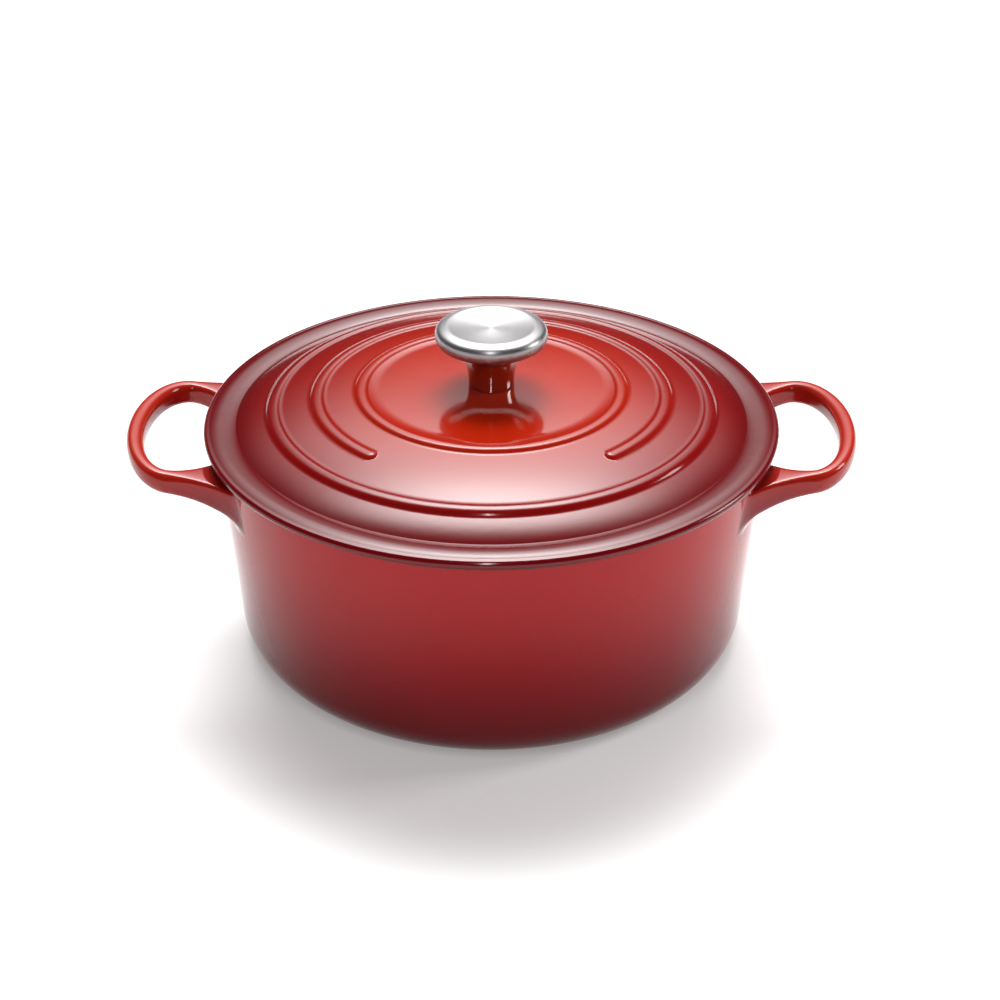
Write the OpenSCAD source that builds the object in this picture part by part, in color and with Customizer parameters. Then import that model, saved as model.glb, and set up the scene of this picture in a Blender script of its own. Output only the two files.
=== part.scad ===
// Round enamelled cast iron dutch oven with two loop handles, a domed lid and a
// steel knob. The origin is on the table under the middle of the pot, +Z is up
// and the handles lie along X. Sizes are in millimetres.

/* [Pot] */
// Height of the pot's rim above the table
rim_z = 120; // [100:1:150]
// Outer radius of the pot at its rim
rim_r = 139; // [134:1:150]
// Lean of the pot's wall, in degrees from upright
wall_lean = 4.5; // [2:0.1:8]
// Radius of the rounded corner between wall and bottom
corner_r = 22.6; // [18:0.1:30]
// Thickness of the iron in the pot's wall
wall_t = 3.6; // [3:0.1:5]
// Thickness of the iron in the pot's bottom
bottom_t = 4.6; // [4:0.1:6]
// Thickness of every enamel coat
coat_t = 0.5; // [0.3:0.05:0.6]
// Width of the black enamel band that runs round the rim
rim_band_h = 3; // [2:0.5:5]
// Width of the foot ring under the pot
foot_w = 10; // [6:1:14]
// Depth of the recess inside the foot ring
foot_recess = 1; // [0.8:0.1:2]

/* [Handles] */
// How far a handle stands out past the pot's rim
handle_out = 45; // [40:1:52]
// Half the width of a handle loop across its arms
handle_half_w = 53; // [48:1:55]
// Width of the handle's bar, seen from above
bar_w = 9.2; // [8:0.1:11]
// Height of the handle's bar
bar_h = 11.4; // [9:0.1:13]
// Depth of the handle's top below the rim, where it leaves the pot
handle_drop = 5.5; // [4:0.5:12]
// Upward tilt of the handle, in degrees
handle_tilt = 8; // [0:0.5:10]

/* [Lid] */
// How far the lid's edge stands out past the pot's rim
lid_overhang = 5.5; // [4:0.5:8]
// Thickness of the lid's rounded edge
lid_edge_t = 5; // [4:0.1:6]
// Thickness of the iron in the lid's dome
dome_t = 4.2; // [3.5:0.1:5]
// Rise of the dome's middle above the pot's rim
dome_rise = 20.8; // [18:0.1:24]
// Distance between one raised ring and the next
ring_pitch = 22.3; // [20:0.1:24]
// Radius of the innermost raised ring
ring_r = 65.2; // [60:0.1:70]
// Width of a raised ring at its foot
ring_w = 7.2; // [6:0.1:9]
// Height of a raised ring
ring_h = 1.3; // [0.8:0.1:2]
// Half the angle over which the middle ring is left out at the front
ring_gap = 41; // [20:1:60]
// Depth of the lip that keeps the lid in the pot
lip_depth = 8.5; // [8:0.5:12]
// Thickness of the iron in that lip
lip_t = 3; // [2.5:0.1:4]
// Gap between the end of the lip and the pot's wall
lip_gap = 1.3; // [1:0.1:2]

/* [Knob] */
// Radius of the knob's cap
cap_r = 28; // [25:0.5:30]
// Height of the whole knob
knob_h = 32.2; // [31:0.1:35]
// Thickness of the cap's sheet
cap_t = 1.5; // [1:0.1:2]
// Radius of the knob's neck where it meets the lid
neck_r = 11.5; // [10:0.1:13]
// Radius of the knob screw's thread
screw_r = 3; // [2.5:0.5:4]
// Gap between the screw and the hole in the lid
screw_gap = 0.5; // [0.3:0.1:1]

/* [Hidden] */
$fn = 96;

// Pot
wall_all = wall_t + 2 * coat_t;
corner_x = rim_r - rim_z * tan(wall_lean)
    - corner_r * (1 - sin(wall_lean)) / cos(wall_lean);
corner_step = 6.25;
floor_lift = bottom_t - wall_t;
foot_r = corner_x - 0.6;
foot_h = 3;
band_z = rim_z - rim_band_h;
big = 300;

// Handles
handle_reach = rim_r + handle_out;
root_top_z = rim_z - handle_drop;
arm_x = handle_reach - 2.9 * bar_w;
outer_run = arm_x - rim_r + 17.7;
inner_run = arm_x - rim_r + 4.7;
outer_flare = 11.1;
outer_power = 2.2;
inner_flare = 15;
inner_power = 2;
arm_steps = 6;
arm_end = 1.12;
loop_steps = 28;
bar_sides = 14;
bar_power = 3.2;
root_drop = 7;
core_w = 12;
core_h = 6;
core_in = 20;
core_z = root_top_z - bar_h / 2 - core_h / 2;

// Lid
lid_r = rim_r + lid_overhang;
edge_c = lid_edge_t / 2;
edge_half = edge_c - 0.25;
edge_from = 68;
dome_z = rim_z + dome_rise;
dome_bow = 3.77e-4;
dome_fall = 3.7e-8;
seat_r = 13.5;
outer_ring_r = ring_r + 2 * ring_pitch;
flank_r = outer_ring_r + ring_w / 2;
flank_start = [6, -1.75];
flank_end = [-4.5, 2.3];
flank_steps = 7;
cove_r = lid_r - 16;
crown_z = rim_z + lid_edge_t + 0.55;
cove_depth = 1.3;
cove_z = crown_z - cove_depth;
cove_rise = 3.5;
crown_r = cove_r + 7.5;
crown_bow = 0.033;
band_steps = 8;
roof_step = 5;
roof_corner = 3;
lip_z = rim_z - lip_depth;
lip_r = wall_r(lip_z, wall_all) - lip_gap;
lug_count = 3;
lug_w = 14;
lug_h = 5;
lug_z = lip_z + 1;
lug_r = wall_r(lug_z, wall_all) - 0.5;

// Ring ends sit this much inside the ring, so that no faces coincide
end_in = 0.06;

// Knob
knob_z = dome_z;
edge_w = 6;
edge_h = 5;
edge_z = knob_z + knob_h - edge_h;
cap_slope = 8;
cap_steps = 5;
dish_depth = 1.6;
brim_z = knob_z + 0.69 * knob_h;
brim_r = cap_r - 3.1;
flare_power = 2.6;
neck_edge = 0.4;
insert_r = 6.5;
insert_h = 17;
under_z = dome_z - 2 * coat_t - dome_t;
washer_t = 1;
washer_r = 3 * screw_r;
washer_z = under_z - washer_t;
lock_t = 1.6;
lock_r = 1.85 * screw_r;
lock_z = washer_z - lock_t;
lock_cut = 0.8;
lock_tilt = 20;
bore_r = screw_r + 0.2;
head_h = 3.6;
head_r = 6;
head_edge = 1.4;
head_z = lock_z - head_h;
slot_w = 1.2;
slot_h = 2;
screw_top_z = knob_z + 15;

// ---- Pot -------------------------------------------------------------------

// Radius of the pot's outside at height z, moved inwards by d
function wall_r(z, d) = rim_r - (rim_z - z) * tan(wall_lean) - d / cos(wall_lean);

// Outline of the pot's outside, moved inwards by d and cut off at height top
function pot_outline(d, top) = concat(
    [[0, d]],
    [for (a = [0 : corner_step : 90 - wall_lean])
        [corner_x + (corner_r - d) * sin(a), corner_r - (corner_r - d) * cos(a)]],
    [[corner_x + (corner_r - d) * cos(wall_lean), corner_r - (corner_r - d) * sin(wall_lean)]],
    [[wall_r(top, d), top], [0, top]]);

// Half section of the space inside the pot. Its floor is lifted, so the bottom
// is thicker than the wall.
module pot_space(d) {
    intersection() {
        polygon(pot_outline(d, rim_z + 1));
        between(d + floor_lift, rim_z + 1);
    }
}

// Half section of the recess inside the foot ring
module foot_space(h) {
    translate([-1, -1]) square([1 + foot_r - foot_w, 1 + h]);
}

// Half section of the iron, with its foot ring
module pot_iron() {
    difference() {
        union() {
            difference() {
                polygon(pot_outline(coat_t, rim_z - coat_t));
                foot_space(foot_recess + coat_t);
            }
            translate([foot_r - foot_w, 0]) square([foot_w, foot_h]);
        }
        pot_space(coat_t + wall_t);
    }
}

// Half section of all the enamel on the iron
module pot_coats() {
    difference() {
        polygon(pot_outline(0, rim_z));
        foot_space(foot_recess);
        pot_space(wall_all);
        pot_iron();
    }
}

// Half plane from height z0 to height z1
module between(z0, z1) {
    translate([-1, z0]) square([big, z1 - z0]);
}

module pot_casting() {
    color("dimgray") rotate_extrude() pot_iron();
}

module pot_exterior_enamel() {
    color("firebrick") difference() {
        rotate_extrude() difference() {
            intersection() {
                pot_coats();
                between(-1, band_z);
            }
            pot_space(wall_all / 2);
        }
        root_cores();
        mirror([1, 0, 0]) root_cores();
    }
}

module pot_interior_enamel() {
    color("wheat") rotate_extrude() intersection() {
        pot_coats();
        pot_space(wall_all / 2);
        between(-1, band_z);
    }
}

module pot_rim_enamel() {
    color("black") rotate_extrude() intersection() {
        pot_coats();
        between(band_z, rim_z + 1);
    }
}

// ---- Handles ---------------------------------------------------------------

// Points on the outer and the inner edge of the loop, from one arm's root
// (s = -1) round the end (s = 0) to the other arm's root (s = 1)
function arm_part(s) = max(0, (abs(s) - 0.5) * 2);
function turn(s) = 90 * min(1, abs(s) * 2);
function side(s) = s < 0 ? -1 : 1;
function outer_point(s) = [
    arm_x + (handle_reach - arm_x) * cos(turn(s)) - outer_run * arm_part(s),
    side(s) * (handle_half_w * sin(turn(s)) + outer_flare * pow(arm_part(s), outer_power))];
function inner_point(s) = [
    arm_x + (handle_reach - arm_x - bar_w) * cos(turn(s)) - inner_run * arm_part(s),
    side(s) * ((handle_half_w - bar_w) * sin(turn(s)) - inner_flare * pow(arm_part(s), inner_power))];

// One ring of points round the bar: a soft cornered box between the two edges,
// whose underside drops towards the pot
function soft(c) = sign(c) * pow(abs(c), 2 / bar_power);
function bar_ring(s) = let (o = outer_point(s), i = inner_point(s), m = (o + i) / 2,
        drop = root_drop * pow(arm_part(s), 2))
    [for (k = [0 : bar_sides - 1]) let (a = 360 * k / bar_sides,
            p = m + (o - i) / 2 * soft(cos(a)), up = soft(sin(a)))
        [p[0], p[1], root_top_z + (p[0] - rim_r) * tan(handle_tilt)
            + (up - 1) * (bar_h + (up < 0 ? drop : 0)) / 2]];

// Places of the rings along the bar
function bar_stations() = let (n = arm_steps + loop_steps / 2)
    [for (j = [-n : n]) abs(j) <= loop_steps / 2 ? j / loop_steps
        : sign(j) * (0.5 + 0.5 * arm_end * (abs(j) - loop_steps / 2) / arm_steps)];

module handle_loop() {
    stations = bar_stations();
    rings = [for (s = stations) bar_ring(s)];
    last = len(rings) - 1;
    sides = [for (j = [0 : last - 1]) for (k = [0 : bar_sides - 1])
        let (k2 = (k + 1) % bar_sides)
        each [[j * bar_sides + k, (j + 1) * bar_sides + k, (j + 1) * bar_sides + k2],
            [j * bar_sides + k, (j + 1) * bar_sides + k2, j * bar_sides + k2]]];
    ends = [[for (k = [0 : bar_sides - 1]) k],
        [for (k = [bar_sides - 1 : -1 : 0]) last * bar_sides + k]];
    polyhedron(points = [for (r = rings) each r], faces = concat(sides, ends), convexity = 6);
}

// The iron of a handle's two roots goes through the outer coat to the casting
module root_cores() {
    for (y = [-1, 1]) translate([rim_r - core_in, y * handle_half_w - core_w / 2, core_z])
        cube([core_in, core_w, core_h]);
}

module right_handle() {
    color("firebrick") union() {
        difference() {
            handle_loop();
            rotate_extrude() polygon(pot_outline(0, rim_z));
        }
        intersection() {
            root_cores();
            rotate_extrude() difference() {
                polygon(pot_outline(0, rim_z));
                polygon(pot_outline(coat_t, rim_z));
            }
        }
    }
}

module left_handle() {
    mirror([1, 0, 0]) right_handle();
}

// ---- Lid -------------------------------------------------------------------

// Height of the plain dome: flat at the knob's seat, steeper further out
function dome_fall_at(r) = dome_bow * pow(r, 2) + dome_fall * pow(r, 4);
function dome(r) = dome_z - dome_fall_at(max(r, seat_r)) + dome_fall_at(seat_r);
// Slope of the dome in degrees
function dome_slope(r) = atan(2 * dome_bow * r + 4 * dome_fall * pow(r, 3));
// Height of a raised ring at the distance x from its middle
function bead(x) = let (half = ring_w / 2) abs(x) < half ? ring_h * (1 - pow(abs(x) / half, 3)) : 0;

// Upper side of the lid, moved down by d: dome with the inner and the outer ring
function dome_line(d) = [for (r = [seat_r : ring_w / 8 : flank_r])
    [r, dome(r) - d + bead(r - ring_r) + bead(r - outer_ring_r)]];

// A curve from p0 to p1 that leaves p0 along v0 and meets p1 from p1 + v1
function curve(p0, v0, p1, v1, steps, d) = [for (k = [1 : steps]) let (t = k / steps, u = 1 - t)
    u * u * u * p0 + 3 * t * u * u * (p0 + v0) + 3 * t * t * u * (p1 + v1) + t * t * t * p1 - [0, d]];

// Flank from the outer ring down to the cove, steepest at its foot
function flank_line(d) =
    curve([flank_r, dome(flank_r)], flank_start, [cove_r, cove_z], flank_end, flank_steps, d);

// Rim band: it rises sharply from the cove and is slightly crowned
function band(r) = crown_z - cove_depth * exp((cove_r - r) / cove_rise)
    - crown_bow * pow(max(0, r - crown_r), 2);
function band_line(d) = let (run = lid_r - edge_c - cove_r) [for (k = [1 : band_steps])
    let (t = k / band_steps, r = cove_r + run * t * (1 + t) / 2) [r, band(r) - d]];

// Rounded outer edge, from the rim band down to the seat
function edge_line(d) = [for (k = [0 : 10]) let (a = edge_from - (edge_from + 90) * k / 10)
    [lid_r - edge_c + (edge_c - d) * cos(a), rim_z + edge_half + (edge_half - d) * sin(a)]];

// Half section of the lid from its upper side down to the end of the lip
module lid_section(d) {
    polygon(concat([[0, dome_z - d]], dome_line(d), flank_line(d), band_line(d), edge_line(d),
        [[lip_r - d, rim_z + d], [lip_r - d, lip_z + d], [0, lip_z + d]]));
}

// Half section of the hollow under the dome, where d is the depth of its roof
// below the lid's upper side and e the thickness of the lip round it
module lid_hollow(d, e) {
    polygon(concat([[0, lip_z - 1], [0, dome_z - d]],
        [for (r = [seat_r : roof_step : flank_r]) [r, dome(r) - d]],
        [[lip_r - e - roof_corner, cove_z - d], [lip_r - e, cove_z - d - roof_corner],
        [lip_r - e, lip_z - 1]]));
}

module lid_iron() {
    difference() {
        lid_section(coat_t);
        lid_hollow(coat_t + dome_t, coat_t + lip_t);
    }
}

module lid_coats() {
    difference() {
        lid_section(0);
        lid_hollow(2 * coat_t + dome_t, 2 * coat_t + lip_t);
        lid_iron();
    }
}

// Half section of the space of the red coat: from the middle of the iron up, and
// round the edge down to the seat
module red_space() {
    polygon(concat([[0, dome_z - coat_t - dome_t / 2]],
        [for (r = [seat_r : roof_step : flank_r]) [r, dome(r) - coat_t - dome_t / 2]],
        [[cove_r, rim_z + edge_half], [lid_r - edge_c, rim_z + edge_half], [lid_r - edge_c, rim_z - 1],
        [lid_r + 1, rim_z - 1], [lid_r + 1, dome_z + 1], [0, dome_z + 1]]));
}

// The middle ring stands on the red coat: most of a turn, with round ends either
// side of the gap at the front
module middle_ring() {
    r0 = ring_r + ring_pitch;
    half_w = ring_w / 2;
    root = coat_t / 2;
    rotate([0, 0, ring_gap - 90]) rotate_extrude(angle = 360 - 2 * ring_gap)
        polygon(concat([[r0 - half_w, dome(r0 - half_w) - root]],
            [for (x = [-half_w : ring_w / 8 : half_w]) [r0 + x, dome(r0 + x) + bead(x)]],
            [[r0 + half_w, dome(r0 + half_w) - root]]));
    for (a = [-90 - ring_gap, -90 + ring_gap])
        rotate([0, 0, a]) translate([r0, 0, dome(r0) - end_in]) rotate([0, dome_slope(r0), 0])
            rotate_extrude() polygon(concat([[0, -root], [half_w - end_in, -root]],
                [for (x = [half_w : -ring_w / 8 : 0]) [x * (1 - end_in / half_w), bead(x)]]));
}

module screw_hole() {
    translate([0, 0, under_z - 1]) cylinder(r = screw_r + screw_gap, h = dome_z - under_z + 2);
}

// Small lugs on the lip that centre the lid
module lugs() {
    for (k = [0 : lug_count - 1]) rotate([0, 0, 90 + 360 * k / lug_count])
        intersection() {
            translate([lip_r - 2, -lug_w / 2, lug_z]) cube([lug_r, lug_w, lug_h]);
            cylinder(r = lug_r, h = rim_z);
        }
}

module lid_casting() {
    color("dimgray") difference() {
        union() {
            rotate_extrude() lid_iron();
            lugs();
        }
        screw_hole();
    }
}

module lid_exterior_enamel() {
    color("firebrick") difference() {
        union() {
            rotate_extrude() intersection() {
                lid_coats();
                red_space();
            }
            middle_ring();
        }
        screw_hole();
    }
}

module lid_interior_enamel() {
    color("wheat") difference() {
        rotate_extrude() intersection() {
            lid_coats();
            lid_hollow(coat_t + dome_t, coat_t + lip_t);
        }
        screw_hole();
    }
}

module lid_rim_enamel() {
    color("black") difference() {
        rotate_extrude() difference() {
            lid_coats();
            red_space();
            lid_hollow(coat_t + dome_t, coat_t + lip_t);
        }
        lugs();
    }
}

// ---- Knob ------------------------------------------------------------------

// Outline of the cap drawn t inside its outer face: a shallow dish on top, a
// shoulder that rounds over to the edge, and the turn in under the brim
function cap_outline(t) = let (dish_r = cap_r - edge_w - t / 2, top = knob_z + knob_h - t)
    concat(
    [for (x = [0 : 0.125 : 1]) [x * dish_r, top - dish_depth * (1 - x * x)]],
    curve([dish_r, top], 4.5 * [cos(cap_slope), -sin(cap_slope)], [cap_r - t, edge_z], [0, 3.4],
        cap_steps, 0),
    curve([cap_r - t, edge_z], [0, -2.6], [brim_r - t, brim_z + t / 2], [1.9, 0.5], cap_steps, 0));

module knob_cap() {
    color("silver") rotate_extrude() difference() {
        polygon(concat(cap_outline(0), [[0, brim_z]]));
        polygon(concat(cap_outline(cap_t), [[brim_r - cap_t, brim_z - 1], [0, brim_z - 1]]));
    }
}

module knob_neck() {
    top_r = brim_r - cap_t;
    color("gainsboro") difference() {
        rotate_extrude() polygon(concat(
            [[0, knob_z], [neck_r - neck_edge, knob_z], [neck_r, knob_z + neck_edge]],
            [for (t = [0.1 : 0.1 : 1]) [neck_r + (top_r - neck_r) * pow(t, flare_power),
                knob_z + (brim_z - knob_z) * t]],
            [[top_r, brim_z + cap_t], [0, brim_z + cap_t]]));
        translate([0, 0, knob_z - 1]) cylinder(r = insert_r, h = insert_h + 1);
    }
}

module knob_insert() {
    color("darkgoldenrod") difference() {
        translate([0, 0, knob_z]) cylinder(r = insert_r, h = insert_h);
        translate([0, 0, knob_z - 1]) cylinder(r = screw_r, h = screw_top_z - knob_z + 1);
    }
}

module flat_washer() {
    color("silver") difference() {
        translate([0, 0, washer_z]) cylinder(r = washer_r, h = washer_t);
        translate([0, 0, washer_z - 1]) cylinder(r = bore_r, h = washer_t + 2);
    }
}

module lock_washer() {
    color("gray") difference() {
        translate([0, 0, lock_z]) cylinder(r = lock_r, h = lock_t);
        translate([0, 0, lock_z - 1]) cylinder(r = bore_r, h = lock_t + 2);
        translate([0, -lock_cut / 2, lock_z - 1]) rotate([lock_tilt, 0, 0])
            cube([lock_r + 1, lock_cut, lock_t + 3]);
    }
}

module knob_screw() {
    color("silver") difference() {
        union() {
            translate([0, 0, head_z + head_edge]) cylinder(r = head_r, h = head_h - head_edge);
            translate([0, 0, head_z]) cylinder(r1 = head_r - head_edge, r2 = head_r, h = head_edge);
            translate([0, 0, head_z + head_edge])
                cylinder(r = screw_r, h = screw_top_z - head_z - head_edge);
        }
        for (a = [0, 90]) rotate([0, 0, a]) translate([-screw_r, -slot_w / 2, head_z - 1])
            cube([2 * screw_r, slot_w, slot_h + 1]);
    }
}

pot_casting();
left_handle();
right_handle();
pot_exterior_enamel();
pot_interior_enamel();
pot_rim_enamel();
lid_casting();
lid_exterior_enamel();
lid_interior_enamel();
lid_rim_enamel();
knob_cap();
knob_neck();
knob_insert();
flat_washer();
lock_washer();
knob_screw();
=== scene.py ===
import math

import bpy
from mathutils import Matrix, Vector


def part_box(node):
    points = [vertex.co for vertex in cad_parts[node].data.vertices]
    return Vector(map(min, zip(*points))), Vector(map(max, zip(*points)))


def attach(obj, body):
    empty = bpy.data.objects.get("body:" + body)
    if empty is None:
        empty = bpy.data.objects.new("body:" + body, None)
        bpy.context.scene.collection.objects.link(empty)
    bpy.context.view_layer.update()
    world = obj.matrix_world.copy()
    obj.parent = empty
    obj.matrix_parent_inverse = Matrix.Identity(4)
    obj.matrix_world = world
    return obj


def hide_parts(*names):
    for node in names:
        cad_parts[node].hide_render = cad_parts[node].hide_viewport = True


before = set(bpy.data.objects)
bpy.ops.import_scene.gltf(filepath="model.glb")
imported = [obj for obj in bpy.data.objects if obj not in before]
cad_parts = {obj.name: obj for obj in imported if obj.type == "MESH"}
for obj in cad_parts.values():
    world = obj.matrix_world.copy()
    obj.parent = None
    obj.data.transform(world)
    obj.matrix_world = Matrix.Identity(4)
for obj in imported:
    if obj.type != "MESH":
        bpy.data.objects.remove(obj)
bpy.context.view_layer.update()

MM = 0.001
SEGMENTS = 256

# ---- Sizes, read from the frame or repeated from the CAD's driving dimensions ----

RIM_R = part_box("pot_rim_enamel")[1].x
RIM_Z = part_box("pot_rim_enamel")[1].z
BAND_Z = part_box("pot_rim_enamel")[0].z
COAT_T = 0.5 * MM
WALL_T = 3.6 * MM
BOTTOM_T = 4.6 * MM
LEAN = math.radians(4.5)
CORNER_R = 22.6 * MM
CORNER_X = RIM_R - RIM_Z * math.tan(LEAN) - CORNER_R * (1 - math.sin(LEAN)) / math.cos(LEAN)
FOOT_R = CORNER_X - 0.6 * MM
FOOT_W = 10 * MM
FOOT_RECESS = 1 * MM

HANDLE_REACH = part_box("right_handle")[1].x
HANDLE_HALF_W = 53 * MM
BAR_W = 9.2 * MM
BAR_H = 11.4 * MM
ROOT_TOP_Z = 114.5 * MM
ROOT_DEEPER = 7 * MM
HANDLE_TILT = math.radians(8)

LID_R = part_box("lid_exterior_enamel")[1].x
DOME_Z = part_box("lid_exterior_enamel")[1].z
LIP_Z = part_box("lid_rim_enamel")[0].z
EDGE_R = 2.5 * MM
DOME_T = 4.2 * MM
RING_R = 65.2 * MM
RING_PITCH = 22.3 * MM
RING_W = 7.4 * MM
RING_H = 1.35 * MM
RING_GAP = math.radians(41)
LIP_T = 3 * MM
LIP_GAP = 1.3 * MM
LIP_R = RIM_R - (RIM_Z - LIP_Z) * math.tan(LEAN) - (WALL_T + 2 * COAT_T) / math.cos(LEAN) - LIP_GAP
COVE_R = LID_R - 16 * MM
CROWN_R = COVE_R + 7.5 * MM
CROWN_Z = RIM_Z + 2 * EDGE_R + 0.55 * MM
COVE_DEPTH = 1.3 * MM
COVE_Z = CROWN_Z - COVE_DEPTH
COVE_RISE = 3.5 * MM
SEAT_R = 13.5 * MM
HOLE_R = 3.5 * MM

KNOB_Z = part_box("knob_neck")[0].z
KNOB_TOP_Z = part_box("knob_cap")[1].z
CAP_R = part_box("knob_cap")[1].x
BRIM_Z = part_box("knob_cap")[0].z
BRIM_R = CAP_R - 3.1 * MM
DISH_R = CAP_R - 6 * MM
DISH_DEPTH = 1.6 * MM
CAP_EDGE_Z = KNOB_TOP_Z - 5 * MM
SHOULDER_SLOPE = math.radians(8)
NECK_R = 11.5 * MM
INSERT_R = 6.5 * MM


# ---- Mesh helpers ---------------------------------------------------------------

def new_piece(name, verts, faces, body, slot, material, *replaced):
    """A smooth mesh piece that rides body, in place of the CAD
    nodes replaced. slot is not used."""
    mesh = bpy.data.meshes.new(name)
    mesh.from_pydata(verts, [], faces)
    mesh.validate()
    mesh.update()
    mesh.polygons.foreach_set("use_smooth", [True] * len(mesh.polygons))
    mesh.set_sharp_from_angle(angle=math.radians(40))
    piece = bpy.data.objects.new(name, mesh)
    bpy.context.scene.collection.objects.link(piece)
    mesh.materials.append(material)
    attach(piece, body)
    if replaced:
        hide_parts(*replaced)


def even_angles():
    """The angles of a full turn, in SEGMENTS equal steps."""
    return [2 * math.pi * k / SEGMENTS for k in range(SEGMENTS)]


def lathe(outline, angles=None):
    """Verts and faces of a closed outline turned about Z. outline(angle) gives
    its (r, z) points, counter-clockwise, none of them on the axis."""
    angles = angles or even_angles()
    verts = []
    for a in angles:
        verts += [(r * math.cos(a), r * math.sin(a), z) for r, z in outline(a)]
    n = len(verts) // len(angles)
    faces = []
    for j in range(len(angles)):
        j2 = (j + 1) % len(angles)
        for k in range(n):
            k2 = (k + 1) % n
            faces.append((j * n + k, j2 * n + k, j2 * n + k2, j * n + k2))
    return verts, faces


def lathe_to_axis(line):
    """Verts and faces of an open line turned about Z, whose two ends are on the
    axis, given as (r, z) points from the bottom round the outside to the top."""
    angles = even_angles()
    inner = line[1:-1]
    n = len(inner)
    verts = [(0, 0, line[0][1]), (0, 0, line[-1][1])]
    for a in angles:
        verts += [(r * math.cos(a), r * math.sin(a), z) for r, z in inner]
    faces = []
    for j in range(len(angles)):
        b0 = 2 + j * n
        b1 = 2 + ((j + 1) % len(angles)) * n
        faces.append((0, b1, b0))
        faces += [(b0 + k, b1 + k, b1 + k + 1, b0 + k + 1) for k in range(n - 1)]
        faces.append((1, b0 + n - 1, b1 + n - 1))
    return verts, faces


def rounded(points, radii, steps=6):
    """points with each corner that has a radius replaced by an arc. The line is
    closed, and a corner's arc is tangent to both its sides."""
    out = []
    count = len(points)
    for i, (p, radius) in enumerate(zip(points, radii)):
        if radius <= 0:
            out.append(p)
            continue
        here = Vector(p)
        a = (Vector(points[i - 1]) - here).normalized()
        b = (Vector(points[(i + 1) % count]) - here).normalized()
        half = a.angle(b) / 2
        middle = here + (a + b).normalized() * (radius / math.sin(half))
        start = here + a * (radius / math.tan(half)) - middle
        end = here + b * (radius / math.tan(half)) - middle
        sweep = math.pi - 2 * half
        turn = 1 if start.x * end.y - start.y * end.x > 0 else -1
        for k in range(steps + 1):
            t = turn * sweep * k / steps
            out.append((middle.x + start.x * math.cos(t) - start.y * math.sin(t),
                        middle.y + start.x * math.sin(t) + start.y * math.cos(t)))
    return out


def bezier(a, b, c, d, steps):
    """Points of a cubic Bezier curve, both ends included."""
    return [a * (1 - t) ** 3 + b * 3 * t * (1 - t) ** 2 + c * 3 * t * t * (1 - t) + d * t ** 3
            for t in (k / steps for k in range(steps + 1))]


# ---- Pot ----------------------------------------------------------------------

def wall_r(z, d=0.0):
    """Radius of the pot's outer wall at height z, moved inwards by d."""
    return RIM_R - (RIM_Z - z) * math.tan(LEAN) - d / math.cos(LEAN)


def corner_arc(d, steps=14):
    """The rounded corner between bottom and wall, moved inwards by d."""
    end = math.pi / 2 - LEAN
    return [(CORNER_X + (CORNER_R - d) * math.sin(end * k / steps),
             CORNER_R - (CORNER_R - d) * math.cos(end * k / steps)) for k in range(steps + 1)]


def wall_line(z0, z1, d, steps=24):
    """The wall's line from height z0 to z1, moved inwards by d."""
    zs = [z0 + (z1 - z0) * k / steps for k in range(steps + 1)]
    return [(wall_r(z, d), z) for z in zs]


def make_pot_outer_coat(material):
    wall_foot = CORNER_R - CORNER_R * math.sin(LEAN)
    outside = corner_arc(0) + wall_line(wall_foot, BAND_Z, 0)[1:]
    inside = corner_arc(COAT_T) + wall_line(wall_foot, BAND_Z, COAT_T)[1:]
    line = outside + inside[::-1]
    new_piece("pot_outer_coat", *lathe(lambda a: line), "pot", "red_enamel", material,
              "pot_exterior_enamel")


def make_pot_base_coat(material):
    """The coat on the recessed disc inside the foot ring."""
    r = FOOT_R - FOOT_W
    fillet_h = 0.4 * MM
    line = [(0, FOOT_RECESS), (r * 0.5, FOOT_RECESS), (r * 0.96, FOOT_RECESS),
            (r, FOOT_RECESS - fillet_h), (r, FOOT_RECESS + COAT_T), (0, FOOT_RECESS + COAT_T)]
    new_piece("pot_base_coat", *lathe_to_axis(line), "pot", "red_enamel", material)


def make_pot_inner_coat(material):
    """The cooking surface: the outside's line moved in by the wall, a thicker bottom."""
    d = 2 * COAT_T + WALL_T
    lift = BOTTOM_T - WALL_T
    floor = d + lift

    def line_at(depth):
        arc = [(r, z + lift) for r, z in corner_arc(depth)]
        top = [(wall_r(z, depth), z) for z in (BAND_Z * 0.4, BAND_Z * 0.6, BAND_Z * 0.8, BAND_Z)]
        return [(CORNER_X * 0.5, depth + lift)] + arc + top

    outside = [(0, floor - COAT_T)] + line_at(d - COAT_T)
    inside = line_at(d)[::-1] + [(0, floor)]
    new_piece("pot_inner_coat", *lathe_to_axis(outside + inside), "pot", "sand_enamel",
              material, "pot_interior_enamel")


def make_pot_rim_coat(material):
    full = WALL_T + 2 * COAT_T
    corners = [(wall_r(BAND_Z, 0), BAND_Z), (wall_r(RIM_Z, 0), RIM_Z),
               (wall_r(RIM_Z, full), RIM_Z), (wall_r(BAND_Z, full), BAND_Z),
               (wall_r(BAND_Z, full - COAT_T), BAND_Z),
               (wall_r(RIM_Z - COAT_T, full - COAT_T), RIM_Z - COAT_T),
               (wall_r(RIM_Z - COAT_T, COAT_T), RIM_Z - COAT_T),
               (wall_r(BAND_Z, COAT_T), BAND_Z)]
    round_edge = 1.3 * MM
    line = rounded(corners, [0, round_edge, round_edge, 0, 0, 0, 0, 0])
    new_piece("pot_rim_coat", *lathe(lambda a: line), "pot", "black_enamel", material,
              "pot_rim_enamel")


# ---- Handles --------------------------------------------------------------------

ARM_X = HANDLE_REACH - 2.9 * BAR_W
ARM_RUN = 36 * MM
INNER_RUN = 23 * MM
OUTER_FLARE = 11.1 * MM
INNER_FLARE = 15 * MM
FLARE_POWER = 2.2


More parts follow.
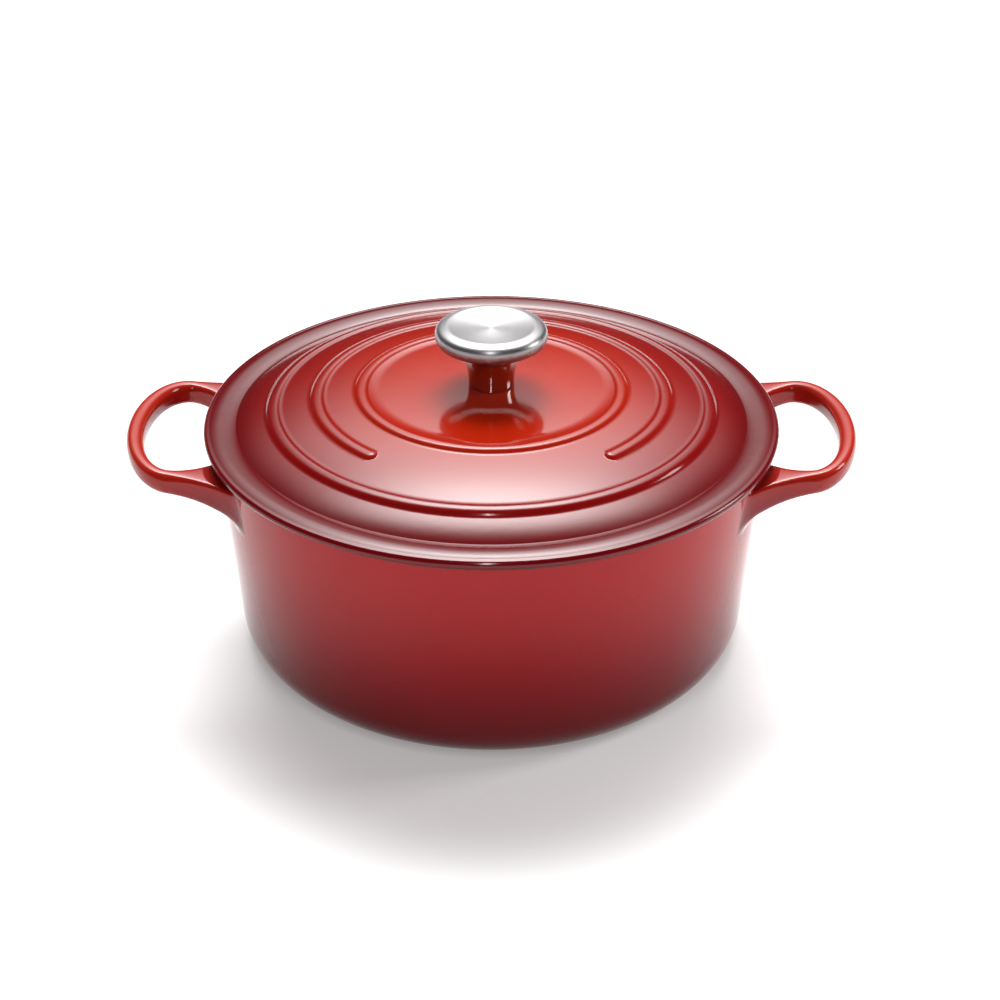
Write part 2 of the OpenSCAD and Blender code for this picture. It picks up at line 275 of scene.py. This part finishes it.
def signed_power(value, power):
    """A power of the size of value, with its sign."""
    return math.copysign(abs(value) ** power, value)


def loop_edges(s):
    """The outer and the inner edge of the loop, seen from above, at s: 0 at the
    end of the loop, 0.5 where the arm begins and 1 inside the pot's wall."""
    arm = max(0.0, (s - 0.5) * 2)
    turn = math.pi / 2 * min(1.0, s * 2)
    reach = HANDLE_REACH - ARM_X
    outer = Vector((ARM_X + reach * math.cos(turn) - ARM_RUN * arm,
                    HANDLE_HALF_W * math.sin(turn) + OUTER_FLARE * arm ** FLARE_POWER))
    inner = Vector((ARM_X + (reach - BAR_W) * math.cos(turn) - INNER_RUN * arm,
                    (HANDLE_HALF_W - BAR_W) * math.sin(turn) - INNER_FLARE * arm * arm))
    return outer, inner


def bar_point(s, angle):
    """A point on the bar's skin. angle is 0 on the outside, a quarter turn on top.
    The section is nearly round at the loop's end and squarer and deeper at the root."""
    outer, inner = loop_edges(s)
    arm = max(0.0, (s - 0.5) * 2)
    squareness = 2.6 + 3.0 * min(1.0, arm * 1.6)
    power = 2 / squareness
    across = signed_power(math.cos(angle), power)
    up = signed_power(math.sin(angle), power)
    p = (outer + inner) / 2 + (outer - inner) / 2 * across
    height = BAR_H + (ROOT_DEEPER * arm * arm if up < 0 else 0)
    top = ROOT_TOP_Z + (p.x - RIM_R) * math.tan(HANDLE_TILT)
    return Vector((p.x, p.y, top + (up - 1) * height / 2))


def wall_gap(p):
    """Distance of a point from the pot's outer wall, positive outside it."""
    return math.hypot(p.x, p.y) - wall_r(p.z)


def root_curve(angle, steps=9):
    """Where the bar meets the wall on one line of its skin: (s where the fillet
    begins, points of the fillet down to the wall)."""
    low, high = 0.5, 1.06
    halvings = 40
    for _ in range(halvings):
        mid = (low + high) / 2
        if wall_gap(bar_point(mid, angle)) > 0:
            low = mid
        else:
            high = mid
    meet = bar_point(low, angle)
    under = max(0.0, -math.sin(angle))
    over = max(0.0, math.sin(angle))
    run = (5 + 5 * under - 2.2 * over) * MM
    sunk = 0.04 * MM
    stride = 0.002
    s = low
    while s > 0.5 and (bar_point(s, angle) - meet).length < run:
        s -= stride
    start = bar_point(s, angle)
    outer, inner = loop_edges(low)
    middle = (outer + inner) / 2
    axis_z = bar_point(low, math.pi / 2).z - BAR_H / 2
    away = meet - Vector((middle.x, middle.y, axis_z))
    normal = Vector((meet.x, meet.y, 0)).normalized()
    away = (away - normal * away.dot(normal)).normalized()
    end = meet + away * run * 0.9
    flat = Vector((end.x, end.y, 0)).normalized() * (wall_r(end.z) - sunk)
    end = Vector((flat.x, flat.y, end.z))
    points = []
    for k in range(1, steps + 1):
        t = k / steps
        points.append(start * (1 - t) ** 2 + meet * 2 * t * (1 - t) + end * t * t)
    return s, points


def handle_mesh(side):
    """Verts and faces of one handle; side is 1 on the right and -1 on the left."""
    around = 36
    stations = 44
    cap_depth = 1.5 * MM
    angles = [2 * math.pi * k / around for k in range(around)]
    roots = [root_curve(a) for a in angles]
    half = []
    for j in range(stations + 1):
        half.append([bar_point(root[0] * j / stations, a) for a, root in zip(angles, roots)])
    for k in range(len(roots[0][1])):
        half.append([root[1][k] for root in roots])
    flipped = [[Vector((p.x, -p.y, p.z)) for p in ring] for ring in half[:0:-1]]
    rings = flipped + half
    verts = [(side * p.x, p.y, p.z) for ring in rings for p in ring]
    faces = []
    for j in range(len(rings) - 1):
        for k in range(around):
            k2 = (k + 1) % around
            quad = (j * around + k, j * around + k2, (j + 1) * around + k2, (j + 1) * around + k)
            faces.append(quad if side > 0 else quad[::-1])
    for j, turned in ((0, True), (len(rings) - 1, False)):
        centre = sum((Vector(p) for p in rings[j]), Vector()) / around
        inwards = Vector((centre.x, centre.y, 0)).normalized() * cap_depth
        verts.append((side * (centre.x - inwards.x), centre.y - inwards.y, centre.z))
        for k in range(around):
            tri = (j * around + k, j * around + (k + 1) % around, len(verts) - 1)
            faces.append(tri[::-1] if turned == (side > 0) else tri)
    return verts, faces


def make_handles(material):
    for name, side in (("left", -1), ("right", 1)):
        new_piece(f"{name}_loop", *handle_mesh(side), "pot", "red_enamel", material, f"{name}_handle")


# ---- Lid ------------------------------------------------------------------------

OUTER_RING_R = RING_R + 2 * RING_PITCH
FLANK_R = OUTER_RING_R + RING_W / 2


def dome_fall(r):
    """How far a dome of the lid's curve has fallen at radius r."""
    x = r / MM
    return (3.77e-4 * x * x + 3.7e-8 * x ** 4) * MM


def dome(r):
    """Height of the plain dome: flat at the knob's seat, steeper further out."""
    return DOME_Z - dome_fall(max(r, SEAT_R)) + dome_fall(SEAT_R)


def bead(distance):
    """Height of a raised ring at that distance from its middle line: a round
    crest that runs out softly into the dome."""
    fullness, run_out = 3, 1.3
    x = abs(distance) / (RING_W / 2)
    if x >= 1:
        return 0.0
    return RING_H * (1 - x ** fullness) ** run_out


def middle_ring_distance(r, angle):
    """Distance from the middle line of the broken ring, with its round ends."""
    middle = RING_R + RING_PITCH
    from_front = abs((angle + math.pi / 2 + math.pi) % (2 * math.pi) - math.pi)
    if from_front >= RING_GAP:
        return abs(r - middle)
    off = RING_GAP - from_front
    return math.hypot(r * math.cos(off) - middle, r * math.sin(off))


def lid_top_radii():
    radii = [HOLE_R, 6 * MM, 10 * MM, SEAT_R]
    ring_count, gap_steps, ring_steps = 3, 8, 14
    for ring in range(ring_count):
        last = radii[-1]
        start = RING_R + ring * RING_PITCH - RING_W / 2
        radii += [last + (start - last) * k / gap_steps for k in range(1, gap_steps)]
        radii += [start + RING_W * k / ring_steps for k in range(ring_steps + 1)]
    return radii


def flank(d, steps=14):
    """From the outer ring down to the cove, steepest at its foot."""
    start = Vector((FLANK_R, dome(FLANK_R)))
    end = Vector((COVE_R, COVE_Z))
    leave_dome = Vector((6, -1.75)) * MM
    reach_cove = Vector((-4.5, 2.3)) * MM
    line = bezier(start, start + leave_dome, end + reach_cove, end, steps)
    return [(p.x, p.y - d) for p in line[1:]]


def band(r):
    """Height of the rim band: it rises from the cove, then rounds over to the edge."""
    bow = 0.033 / MM
    past = max(0.0, r - CROWN_R)
    return CROWN_Z - COVE_DEPTH * math.exp((COVE_R - r) / COVE_RISE) - bow * past * past


def lid_edge(d, steps=18):
    """From the cove over the rim band, round the edge and down to the seat. The steps
    on the band grow outwards, because its sharpest bend is at the cove."""
    middle = LID_R - EDGE_R
    half = EDGE_R - 0.25 * MM
    run = middle - COVE_R
    band_steps = 26
    top = [COVE_R + run * t * (1 + t) / 2 for t in (k / band_steps for k in range(1, band_steps + 1))]
    start = math.radians(68)  # where the rim band runs into the edge's arc
    arc = [(middle + (EDGE_R - d) * math.cos(a), RIM_Z + half + (half - d) * math.sin(a))
           for a in (start - (start + math.pi / 2) * k / steps for k in range(steps + 1))]
    return [(r, band(r) - d) for r in top] + arc


def make_lid_outer_coat(material):
    """The lid's outside with its three raised rings; its hidden underside is coarser."""
    radii = lid_top_radii()
    hidden_radii = radii[::6]

    def outline(angle):
        top = []
        for r in radii:
            z = dome(r) + bead(r - RING_R) + bead(r - OUTER_RING_R)
            top.append((r, z + bead(middle_ring_distance(r, angle))))
        under = [(r, dome(r) - COAT_T) for r in hidden_radii]
        upper = top + flank(0) + lid_edge(0)
        lower = under + flank(COAT_T) + lid_edge(COAT_T)
        return lower + upper[::-1]

    ring_end = [-math.pi / 2 - RING_GAP, -math.pi / 2 + RING_GAP]
    fine_step, fine_count = 0.15, 24
    fine = [end + math.radians(fine_step * k) for end in ring_end
            for k in range(-fine_count, fine_count + 1)]
    clear = math.radians(4)
    plain = [a for a in even_angles()
             if all(abs((a - e + math.pi) % (2 * math.pi) - math.pi) > clear for e in ring_end)]
    angles = sorted(a % (2 * math.pi) for a in plain + fine)
    new_piece("lid_outer_coat", *lathe(outline, angles), "lid", "red_enamel", material,
              "lid_exterior_enamel")


def lid_under_line(d, lip):
    """The hollow under the dome, from the screw hole out and down the lip."""
    roof_r = [HOLE_R] + [SEAT_R + k * 5 * MM for k in range(20)]
    roof = [(r, dome(r) - d) for r in roof_r]
    wall = LIP_R - lip
    corner_z = COVE_Z - d - 1.4 * MM
    bend = rounded([roof[-1], (wall, corner_z), (wall, LIP_Z)], [0, 4 * MM, 0])
    return roof[:-1] + bend[:-1]


def make_lid_inner_coat(material):
    thin = lid_under_line(2 * COAT_T + DOME_T, 2 * COAT_T + LIP_T)
    back = lid_under_line(COAT_T + DOME_T, COAT_T + LIP_T)
    lip_mid = LIP_R - COAT_T - LIP_T / 2
    wall = LIP_R - 2 * COAT_T - LIP_T
    foot = [(wall, LIP_Z + 1.2 * MM), (wall + 0.4 * MM, LIP_Z + 0.4 * MM), (wall + 1.2 * MM, LIP_Z),
            (lip_mid, LIP_Z), (lip_mid, LIP_Z + COAT_T), (wall + COAT_T, LIP_Z + COAT_T)]
    line = thin + foot + back[::-1]
    new_piece("lid_inner_coat", *lathe(lambda a: line), "lid", "sand_enamel", material,
              "lid_interior_enamel")


def make_lid_seat_coat(material):
    seat_out = LID_R - EDGE_R
    lip_mid = LIP_R - COAT_T - LIP_T / 2
    corners = [(lip_mid, LIP_Z), (LIP_R, LIP_Z), (LIP_R, RIM_Z), (seat_out, RIM_Z),
               (seat_out, RIM_Z + COAT_T), (LIP_R - COAT_T, RIM_Z + COAT_T),
               (LIP_R - COAT_T, LIP_Z + COAT_T), (lip_mid, LIP_Z + COAT_T)]
    line = rounded(corners, [0, 0.9 * MM, 0.6 * MM, 0, 0, 0, 0, 0])
    new_piece("lid_seat_coat", *lathe(lambda a: line), "lid", "black_enamel", material,
              "lid_rim_enamel")


# ---- Knob -------------------------------------------------------------------------

def make_knob_dome(material):
    """The cap: a shallow dish, a shoulder that rounds over to the edge and the turn
    in under the brim."""
    dish = [(DISH_R * x, KNOB_TOP_Z - DISH_DEPTH * (1 - x * x)) for x in (k / 16 for k in range(17))]
    shoulder = Vector(dish[-1])
    outwards = Vector((math.cos(SHOULDER_SLOPE), -math.sin(SHOULDER_SLOPE)))
    rim = Vector((CAP_R, CAP_EDGE_Z))
    brim = Vector((BRIM_R, BRIM_Z + 0.4 * MM))
    above_rim, below_rim = Vector((0, 3.4)) * MM, Vector((0, -2.6)) * MM
    beside_brim = Vector((1.9, 0.5)) * MM
    edge = bezier(shoulder, shoulder + outwards * 4.5 * MM, rim + above_rim, rim, 16)
    turned = bezier(rim, rim + below_rim, brim + beside_brim, brim, 10)
    outside = dish + [tuple(p) for p in edge[1:] + turned[1:]] + [(BRIM_R - 0.5 * MM, BRIM_Z)]
    line = [(0, BRIM_Z), (NECK_R, BRIM_Z)] + outside[::-1]
    new_piece("knob_dome", *lathe_to_axis(line), "knob", "brushed_stainless", material,
              "knob_cap")


def make_knob_stem(material):
    """The neck: straight at its foot, flaring up into the cap, bored for the insert."""
    top_r = BRIM_R - 1.6 * MM
    rise = BRIM_Z - KNOB_Z + 0.6 * MM
    flare_power = 2.6
    flare = [(NECK_R + (top_r - NECK_R) * t ** flare_power, KNOB_Z + rise * t)
             for t in (k / 24 for k in range(2, 25))]
    foot = [(NECK_R - 0.5 * MM, KNOB_Z), (NECK_R - 0.15 * MM, KNOB_Z + 0.12 * MM),
            (NECK_R, KNOB_Z + 0.5 * MM)]
    line = foot + flare + [(INSERT_R, KNOB_Z + rise), (INSERT_R, KNOB_Z)]
    new_piece("knob_stem", *lathe(lambda a: line), "knob", "polished_stainless", material,
              "knob_neck")


# ---- Materials --------------------------------------------------------------------

def new_material(name, roughness, **sockets):
    """A Principled material with constant values on its own sockets."""
    material = bpy.data.materials.new(name)
    material.use_nodes = True
    tree = material.node_tree
    shader = tree.nodes["Principled BSDF"]
    shader.inputs["Roughness"].default_value = roughness
    for key, value in sockets.items():
        shader.inputs[key.replace("_", " ")].default_value = value
    return material, tree, shader


def srgb(r, g, b):
    """Linear colour of an 8-bit sRGB one."""
    def linear(v):
        v /= 255
        return v / 12.92 if v <= 0.04045 else ((v + 0.055) / 1.055) ** 2.4
    return (linear(r), linear(g), linear(b), 1)


def object_coords(tree):
    """The piece's own coordinates in metres, which at rest are the frame's."""
    return tree.nodes.new("ShaderNodeTexCoord").outputs["Object"]


def math_node(tree, operation, a, b, clamp=False):
    """A calculation with a and b, each of them a number or another node's output."""
    node = tree.nodes.new("ShaderNodeMath")
    node.operation = operation
    node.use_clamp = clamp
    for socket, value in zip(node.inputs, (a, b)):
        if isinstance(value, (int, float)):
            socket.default_value = value
        else:
            tree.links.new(value, socket)
    return node.outputs[0]


def noise(tree, coords, scale, detail, roughness=0.5):
    node = tree.nodes.new("ShaderNodeTexNoise")
    tree.links.new(coords, node.inputs["Vector"])
    node.inputs["Scale"].default_value = scale
    node.inputs["Detail"].default_value = detail
    node.inputs["Roughness"].default_value = roughness
    return node.outputs["Fac"]


def ramp(tree, factor, stops):
    """A colour ramp with the stops (position, colour)."""
    node = tree.nodes.new("ShaderNodeValToRGB")
    node.color_ramp.interpolation = "B_SPLINE"
    elements = node.color_ramp.elements
    while len(elements) < len(stops):
        elements.new(0.5)
    for element, (position, colour) in zip(elements, stops):
        element.position = position
        element.color = colour
    tree.links.new(factor, node.inputs["Fac"])
    return node.outputs["Color"]


def bump(tree, shader, height, distance):
    """Relief on the skin: distance is its depth where height changes by 1."""
    node = tree.nodes.new("ShaderNodeBump")
    node.inputs["Strength"].default_value = 1.0
    node.inputs["Distance"].default_value = distance
    tree.links.new(height, node.inputs["Height"])
    tree.links.new(node.outputs["Normal"], shader.inputs["Normal"])


def radius_and_height(tree, coords):
    """Distance from the upright axis through the object, and height."""
    split = tree.nodes.new("ShaderNodeSeparateXYZ")
    tree.links.new(coords, split.inputs[0])
    flat = tree.nodes.new("ShaderNodeCombineXYZ")
    tree.links.new(split.outputs["X"], flat.inputs["X"])
    tree.links.new(split.outputs["Y"], flat.inputs["Y"])
    length = tree.nodes.new("ShaderNodeVectorMath")
    length.operation = "LENGTH"
    tree.links.new(flat.outputs[0], length.inputs[0])
    return length.outputs["Value"], split.outputs["Z"]


def glaze_surface(tree, shader, coords):
    """Orange peel and slow ripple of a fired glaze."""
    ripple_weight = 2.5
    peel = noise(tree, coords, scale=260, detail=2.0)
    ripple = noise(tree, coords, scale=45, detail=1.0)
    height = math_node(tree, "ADD", peel, math_node(tree, "MULTIPLY", ripple, ripple_weight))
    bump(tree, shader, height, 0.02 * MM)


def mottled(tree, coords, colour, amount, scale):
    """colour with a slow cloudy variation in its depth."""
    cloud = noise(tree, coords, scale, detail=4.0, roughness=0.6)
    hsv = tree.nodes.new("ShaderNodeHueSaturation")
    value = math_node(tree, "ADD", math_node(tree, "MULTIPLY", cloud, amount), 1 - amount / 2)
    tree.links.new(value, hsv.inputs["Value"])
    tree.links.new(colour, hsv.inputs["Color"])
    return hsv.outputs["Color"]


def red_glaze(name, ior, factor_of, stops):
    """Red enamel whose colour changes along factor_of(tree, coords)."""
    material, tree, shader = new_material(name, roughness=0.11, IOR=ior)
    coords = object_coords(tree)
    colour = ramp(tree, factor_of(tree, coords), stops)
    tree.links.new(mottled(tree, coords, colour, amount=0.10, scale=30), shader.inputs["Base Color"])
    glaze_surface(tree, shader, coords)
    return material


def lid_glaze_and_shade():
    """Orange red at the knob, deep red at the lid's edge, and darkest in the cove, where the dip is
    painted shade.
    """
    def factor(tree, coords):
        radius, _ = radius_and_height(tree, coords)
        return math_node(tree, "DIVIDE", radius, LID_R, clamp=True)
    # The 0.9 stop, at the cove, is painted shade; the others are the enamel's own fade.
    return red_glaze("lid_glaze_and_shade", 1.4, factor, [
        (0.0, (0.46, 0.018, 0.002, 1)), (0.42, (0.41, 0.014, 0.002, 1)), (0.62, (0.27, 0.006, 0.003, 1)),
        (0.8, (0.21, 0.002, 0.003, 1)), (0.9, (0.11, 0.0, 0.002, 1)), (1.0, (0.15, 0.001, 0.004, 1))])


def pot_glaze_and_shade():
    """Darker towards the foot, bright red from the middle of the wall up: the enamel's own fade, with
    painted contact shade deepening the foot.
    """
    def factor(tree, coords):
        _, height = radius_and_height(tree, coords)
        return math_node(tree, "DIVIDE", height, RIM_Z, clamp=True)
    # The lowest stops hold painted contact shade as well as the enamel's fade.
    return red_glaze("pot_glaze_and_shade", 1.32, factor, [
        (0.0, (0.08, 0.0, 0.003, 1)), (0.15, (0.12, 0.0, 0.003, 1)), (0.5, (0.26, 0.001, 0.004, 1)),
        (0.85, (0.37, 0.003, 0.005, 1)), (1.0, (0.37, 0.003, 0.005, 1))])


def handle_glaze_and_shade():
    """Painted shade under the bar and painted light on its top, laid over the enamel's own dark to
    orange red fade.
    """
    def factor(tree, coords):
        _, height = radius_and_height(tree, coords)
        low, span = ROOT_TOP_Z - BAR_H - 6 * MM, 22 * MM
        return math_node(tree, "DIVIDE", math_node(tree, "SUBTRACT", height, low), span, clamp=True)
    # The low stops are painted shade under the bar, the high ones painted light on its top.
    return red_glaze("handle_glaze_and_shade", 1.4, factor, [
        (0.0, (0.16, 0.001, 0.005, 1)), (0.5, (0.27, 0.003, 0.006, 1)), (0.9, (0.40, 0.016, 0.006, 1)),
        (1.0, (0.42, 0.018, 0.006, 1))])


def sand_glaze():
    """The pale enamel inside the pot and under the lid."""
    material, tree, shader = new_material("sand_glaze", 0.22, IOR=1.4, Coat_Weight=0.1,
                                          Coat_Roughness=0.05)
    coords = object_coords(tree)
    fleck = noise(tree, coords, scale=900, detail=2.0)
    colour = ramp(tree, fleck, [(0.35, srgb(168, 155, 126)), (0.55, srgb(182, 170, 141)),
                                (0.8, srgb(193, 182, 156))])
    tree.links.new(mottled(tree, coords, colour, amount=0.08, scale=25), shader.inputs["Base Color"])
    glaze_surface(tree, shader, coords)
    return material


def black_glaze():
    """The matt enamel of the two rims, whose roughness follows its flecks."""
    material, tree, shader = new_material("black_glaze", 0.5)
    coords = object_coords(tree)
    fleck = noise(tree, coords, scale=1400, detail=3.0)
    colour = ramp(tree, fleck, [(0.3, srgb(14, 13, 14)), (0.6, srgb(28, 26, 28)),
                                (0.85, srgb(52, 50, 52))])
    tree.links.new(colour, shader.inputs["Base Color"])
    least, spread = 0.35, 0.3
    tree.links.new(math_node(tree, "ADD", math_node(tree, "MULTIPLY", fleck, spread), least),
                   shader.inputs["Roughness"])
    bump(tree, shader, fleck, 0.05 * MM)
    return material


def bare_iron():
    """The grainy skin of the castings where no enamel covers it."""
    material, tree, shader = new_material("cast_iron_skin", 0.6, Metallic=0.85)
    coords = object_coords(tree)
    grain = noise(tree, coords, scale=700, detail=5.0, roughness=0.65)
    colour = ramp(tree, grain, [(0.3, srgb(44, 42, 41)), (0.6, srgb(66, 63, 60)),
                                (0.9, srgb(92, 84, 78))])
    tree.links.new(colour, shader.inputs["Base Color"])
    bump(tree, shader, grain, 0.12 * MM)
    return material


def steel(name, roughness, streak, anisotropy, colour):
    """Metal turned on a lathe: fine rings round the axis. streak is how much the
    roughness varies from ring to ring."""
    material, tree, shader = new_material(name, roughness, Metallic=1.0, Anisotropic=anisotropy,
                                          Anisotropic_Rotation=0.25)
    coords = object_coords(tree)
    radius, height = radius_and_height(tree, coords)
    rings = tree.nodes.new("ShaderNodeCombineXYZ")
    ring_density = 60
    tree.links.new(math_node(tree, "MULTIPLY", radius, ring_density), rings.inputs["X"])
    tree.links.new(math_node(tree, "MULTIPLY", height, ring_density), rings.inputs["Y"])
    lines = noise(tree, rings.outputs[0], scale=90, detail=4.0, roughness=0.7)
    darker = [c - 10 for c in colour]
    tone = ramp(tree, lines, [(0.3, srgb(*darker)), (0.7, srgb(*colour))])
    tree.links.new(tone, shader.inputs["Base Color"])
    varied = math_node(tree, "ADD", math_node(tree, "MULTIPLY", lines, streak), roughness - streak / 2)
    tree.links.new(varied, shader.inputs["Roughness"])
    tangent = tree.nodes.new("ShaderNodeTangent")
    tangent.direction_type = "RADIAL"
    tangent.axis = "Z"
    tree.links.new(tangent.outputs[0], shader.inputs["Tangent"])
    bump(tree, shader, lines, 0.004 * MM)
    return material


def dress_cad(node, material):
    """Gives a CAD node its finish."""
    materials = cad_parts[node].data.materials
    materials.clear()
    materials.append(material)


# ---- Stage ------------------------------------------------------------------------

TARGET = Vector((4.3 * MM, 0, 73.3 * MM))
CAMERA_ELEVATION = math.radians(30)
CAMERA_DISTANCE = 1.05
LENS_MM = 72.98
SENSOR_MM = 36
WHITE = (1, 1, 1, 1)
FLOOR_HALF = 60.0
FLOOR_GREY = (0.88, 0.88, 0.88, 1)
FLOOR_GLOW = 0.25
LIGHT_AIM = Vector((0, 0, 0.1))
LIGHT_DISTANCE = 1.6
LOBE_SQUEEZE = (0.65, 1.0, 1.0)
AMBIENT = 0.06


def make_camera():
    """The photograph's view, from the front and above."""
    data = bpy.data.cameras.new("camera")
    data.lens = LENS_MM
    data.sensor_width = SENSOR_MM
    data.clip_start = 0.01
    camera = bpy.data.objects.new("camera", data)
    camera.location = TARGET + CAMERA_DISTANCE * Vector(
        (0, -math.cos(CAMERA_ELEVATION), math.sin(CAMERA_ELEVATION)))
    camera.rotation_euler = (math.pi / 2 - CAMERA_ELEVATION, 0, 0)
    bpy.context.scene.collection.objects.link(camera)
    bpy.context.scene.camera = camera


def make_floor():
    """White paper that glows a little, wide enough to fill every view."""
    corners = [(x * FLOOR_HALF, y * FLOOR_HALF, 0) for x, y in ((-1, -1), (1, -1), (1, 1), (-1, 1))]
    mesh = bpy.data.meshes.new("floor")
    mesh.from_pydata(corners, [], [(0, 1, 2, 3)])
    floor = bpy.data.objects.new("floor", mesh)
    material, _, shader = new_material("floor_paper", 0.9)
    shader.inputs["Base Color"].default_value = FLOOR_GREY
    shader.inputs["Specular IOR Level"].default_value = 0.1
    shader.inputs["Emission Color"].default_value = WHITE
    shader.inputs["Emission Strength"].default_value = FLOOR_GLOW
    mesh.materials.append(material)
    bpy.context.scene.collection.objects.link(floor)


def softbox(name, azimuth, elevation, width, height, radiance):
    """An area light that faces the object from that direction, in degrees. Azimuth
    0 is the camera's side and 90 the right."""
    data = bpy.data.lights.new(name, "AREA")
    data.shape = "RECTANGLE"
    data.size = width
    data.size_y = height
    data.energy = radiance * math.pi * width * height
    light = bpy.data.objects.new(name, data)
    a, e = math.radians(azimuth), math.radians(elevation)
    away = Vector((math.sin(a) * math.cos(e), -math.cos(a) * math.cos(e), math.sin(e)))
    light.location = LIGHT_AIM + away * LIGHT_DISTANCE
    light.rotation_euler = away.to_track_quat("Z", "Y").to_euler()
    bpy.context.scene.collection.objects.link(light)


def vector_node(tree, operation, vector, constant=None):
    node = tree.nodes.new("ShaderNodeVectorMath")
    node.operation = operation
    tree.links.new(vector, node.inputs[0])
    if constant:
        node.inputs[1].default_value = constant
    return node


def lobe(tree, direction, elevation, sharpness, radiance):
    """Light from a soft oval patch of the sky, behind the object. The patch is wider
    than high, because the direction's sideways part counts for less."""
    e = math.radians(elevation)
    squeezed = vector_node(tree, "MULTIPLY", direction, LOBE_SQUEEZE).outputs[0]
    unit = vector_node(tree, "NORMALIZE", squeezed).outputs[0]
    dot = vector_node(tree, "DOT_PRODUCT", unit, (0.0, math.cos(e), math.sin(e)))
    facing = math_node(tree, "MAXIMUM", dot.outputs["Value"], 0.0)
    return math_node(tree, "MULTIPLY", math_node(tree, "POWER", facing, sharpness), radiance)


def make_world():
    """A dark studio with one large soft light behind, and its glow below it."""
    world = bpy.data.worlds.new("studio")
    world.use_nodes = True
    tree = world.node_tree
    direction = tree.nodes.new("ShaderNodeTexCoord").outputs["Generated"]
    core = lobe(tree, direction, elevation=60, sharpness=55, radiance=21)
    glow = lobe(tree, direction, elevation=43, sharpness=38, radiance=5.4)
    light = math_node(tree, "ADD", math_node(tree, "ADD", core, glow), AMBIENT)
    tree.links.new(light, tree.nodes["Background"].inputs["Strength"])
    tree.nodes["Background"].inputs["Color"].default_value = WHITE
    bpy.context.scene.world = world


def make_lights():
    make_world()
    softbox("side_right", azimuth=98, elevation=24, width=0.45, height=0.6, radiance=10)
    softbox("strip_front", azimuth=-2, elevation=45, width=0.05, height=1.0, radiance=34)
    bpy.context.scene.view_settings.view_transform = "Standard"


# ---- The scene --------------------------------------------------------------------

make_camera()
make_floor()
make_lights()

POT_RED = pot_glaze_and_shade()
SAND = sand_glaze()
BLACK = black_glaze()
IRON = bare_iron()
SATIN = steel("satin_steel", roughness=0.34, streak=0.16, anisotropy=0.5, colour=(168, 166, 167))
MIRROR = steel("polished_steel", roughness=0.08, streak=0.05, anisotropy=0.2, colour=(215, 214, 212))
PLAIN = steel("turned_steel", roughness=0.25, streak=0.1, anisotropy=0.3, colour=(190, 189, 187))
BRASS = steel("turned_brass", roughness=0.25, streak=0.1, anisotropy=0.3, colour=(205, 170, 100))

make_pot_outer_coat(POT_RED)
make_pot_base_coat(POT_RED)
make_pot_inner_coat(SAND)
make_pot_rim_coat(BLACK)
make_handles(handle_glaze_and_shade())
make_lid_outer_coat(lid_glaze_and_shade())
make_lid_inner_coat(SAND)
make_lid_seat_coat(BLACK)
make_knob_dome(SATIN)
make_knob_stem(MIRROR)
for node_name, finish in (("pot_casting", IRON), ("lid_casting", IRON), ("knob_insert", BRASS),
                          ("flat_washer", PLAIN), ("lock_washer", PLAIN), ("knob_screw", PLAIN)):
    dress_cad(node_name, finish)
